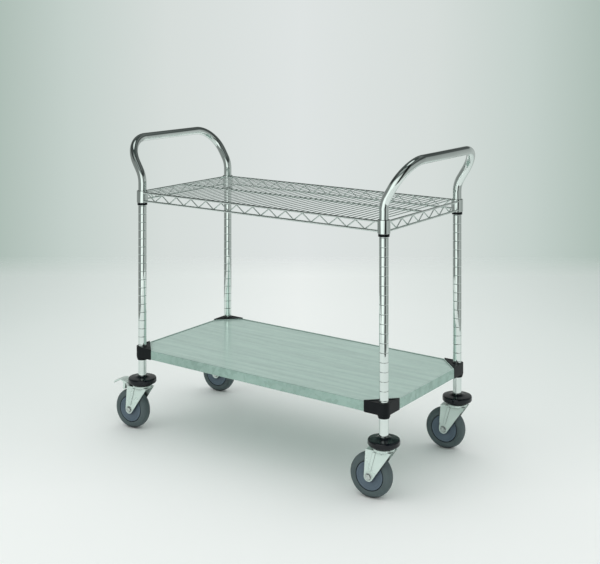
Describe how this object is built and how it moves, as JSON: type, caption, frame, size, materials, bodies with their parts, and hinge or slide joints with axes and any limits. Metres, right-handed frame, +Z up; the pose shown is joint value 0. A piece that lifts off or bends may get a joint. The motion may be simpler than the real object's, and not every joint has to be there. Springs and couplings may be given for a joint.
{
  "type": "utility cart",
  "caption": "Utility cart with a chrome wire shelf above a solid galvanised shelf, round posts, a bent tube handle at each end and swivel casters, two with brakes.",
  "frame": {"origin": "on the floor under the centre of the bounding box", "axes": "+X along the cart's length, away from the braked end, +Y across it towards the rear long side, +Z up"},
  "size_m": [1.0588, 0.506, 0.9107],
  "materials": {
    "chrome": "polished",
    "galvanised_sheet": "satin, mottled zinc",
    "black_plastic": "satin",
    "zinc": "satin",
    "tyre": "matt",
    "hub": "matt",
    "steel": "satin"
  },
  "bodies": {
    "frame": {"handle_left": "chrome", "handle_right": "chrome", "handle_studs": "chrome", "wire_shelf_rims": "chrome", "wire_shelf_truss": "chrome", "wire_shelf_deck": "chrome", "wire_shelf_rib": "chrome", "wire_shelf_collars": "chrome", "upper_split_sleeves": "black_plastic", "lower_split_sleeves": "black_plastic", "solid_shelf": "galvanised_sheet", "solid_shelf_stiffener": "galvanised_sheet", "post_front_left": "chrome", "corner_block_front_left": "black_plastic", "stem_front_left": "steel", "bumper_front_left": "black_plastic", "race_front_left": "zinc", "balls_front_left": "steel", "post_front_right": "chrome", "corner_block_front_right": "black_plastic", "stem_front_right": "steel", "bumper_front_right": "black_plastic", "race_front_right": "zinc", "balls_front_right": "steel", "post_rear_left": "chrome", "corner_block_rear_left": "black_plastic", "stem_rear_left": "steel", "bumper_rear_left": "black_plastic", "race_rear_left": "zinc", "balls_rear_left": "steel", "post_rear_right": "chrome", "corner_block_rear_right": "black_plastic", "stem_rear_right": "steel", "bumper_rear_right": "black_plastic", "race_rear_right": "zinc", "balls_rear_right": "steel"},
    "caster_front_left": {"fork_front_left": "zinc", "axle_front_left": "steel", "pedal_pin_front_left": "steel"},
    "wheel_front_left": {"tyre_front_left": "tyre", "hub_front_left": "hub", "bushing_front_left": "steel"},
    "pedal_front_left": {"pedal_front_left": "zinc"},
    "caster_front_right": {"fork_front_right": "zinc", "axle_front_right": "steel"},
    "wheel_front_right": {"tyre_front_right": "tyre", "hub_front_right": "hub", "bushing_front_right": "steel"},
    "caster_rear_left": {"fork_rear_left": "zinc", "axle_rear_left": "steel", "pedal_pin_rear_left": "steel"},
    "wheel_rear_left": {"tyre_rear_left": "tyre", "hub_rear_left": "hub", "bushing_rear_left": "steel"},
    "pedal_rear_left": {"pedal_rear_left": "zinc"},
    "caster_rear_right": {"fork_rear_right": "zinc", "axle_rear_right": "steel"},
    "wheel_rear_right": {"tyre_rear_right": "tyre", "hub_rear_right": "hub", "bushing_rear_right": "steel"}
  },
  "joints": [
    {"name": "swivel_front_left", "type": "hinge", "parent": "frame", "child": "caster_front_left", "pos_m": [-0.42958, -0.20955, 0.14], "axis": [0, 0, 1], "continuous": true},
    {"name": "spin_front_left", "type": "hinge", "parent": "caster_front_left", "child": "wheel_front_left", "pos_m": [-0.46538, -0.21331, 0.06], "axis": [-0.1045, 0.9945, 0], "continuous": true},
    {"name": "brake_front_left", "type": "hinge", "parent": "caster_front_left", "child": "pedal_front_left", "pos_m": [-0.47036, -0.21384, 0.1372], "axis": [0.1045, -0.9945, 0], "range_deg": [0, 7]},
    {"name": "swivel_front_right", "type": "hinge", "parent": "frame", "child": "caster_front_right", "pos_m": [0.44672, -0.20955, 0.14], "axis": [0, 0, 1], "continuous": true},
    {"name": "spin_front_right", "type": "hinge", "parent": "caster_front_right", "child": "wheel_front_right", "pos_m": [0.41092, -0.21331, 0.06], "axis": [-0.1045, 0.9945, 0], "continuous": true},
    {"name": "swivel_rear_left", "type": "hinge", "parent": "frame", "child": "caster_rear_left", "pos_m": [-0.42958, 0.20955, 0.14], "axis": [0, 0, 1], "continuous": true},
    {"name": "spin_rear_left", "type": "hinge", "parent": "caster_rear_left", "child": "wheel_rear_left", "pos_m": [-0.46538, 0.20579, 0.06], "axis": [-0.1045, 0.9945, 0], "continuous": true},
    {"name": "brake_rear_left", "type": "hinge", "parent": "caster_rear_left", "child": "pedal_rear_left", "pos_m": [-0.47036, 0.20526, 0.1372], "axis": [0.1045, -0.9945, 0], "range_deg": [0, 7]},
    {"name": "swivel_rear_right", "type": "hinge", "parent": "frame", "child": "caster_rear_right", "pos_m": [0.44672, 0.20955, 0.14], "axis": [0, 0, 1], "continuous": true},
    {"name": "spin_rear_right", "type": "hinge", "parent": "caster_rear_right", "child": "wheel_rear_right", "pos_m": [0.41092, 0.20579, 0.06], "axis": [-0.1045, 0.9945, 0], "continuous": true}
  ]
}
